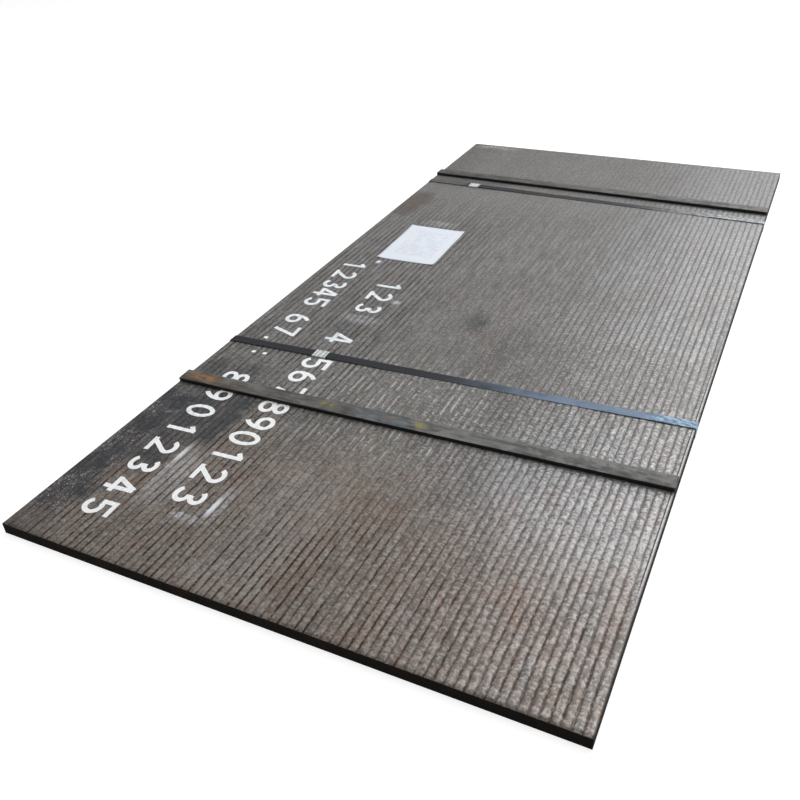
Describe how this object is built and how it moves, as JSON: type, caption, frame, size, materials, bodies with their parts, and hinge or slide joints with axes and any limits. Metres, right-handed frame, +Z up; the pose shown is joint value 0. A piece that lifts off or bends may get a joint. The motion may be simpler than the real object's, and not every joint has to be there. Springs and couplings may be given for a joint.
{
  "type": "steel plate",
  "caption": "Weld-overlay steel wear plate with parallel weld beads along its top, lying flat, banded with steel straps and crimped seals, with flat bars and a document sleeve on top.",
  "frame": {"origin": "middle of the part's footprint, on the floor that it lies on", "axes": "+X across the weld beads to the right, +Y along the weld beads to the back edge, +Z up out of the beaded face"},
  "size_m": [1.4024, 3, 0.0431],
  "materials": {
    "overlay_steel": "as-welded beads with brown-grey scale",
    "strapping": "blue-black lacquered",
    "galvanised_sheet": "galvanised, crimped",
    "rolled_bar": "mill scale with light rust",
    "paper_sleeve": "papers in a clear sleeve"
  },
  "bodies": {
    "root": {"wear_plate": "overlay_steel", "front_strap": "strapping", "back_strap": "strapping", "front_seal": "galvanised_sheet", "back_seal": "galvanised_sheet", "front_bar": "rolled_bar", "back_bar": "rolled_bar", "document_sleeve": "paper_sleeve"}
  },
  "joints": []
}
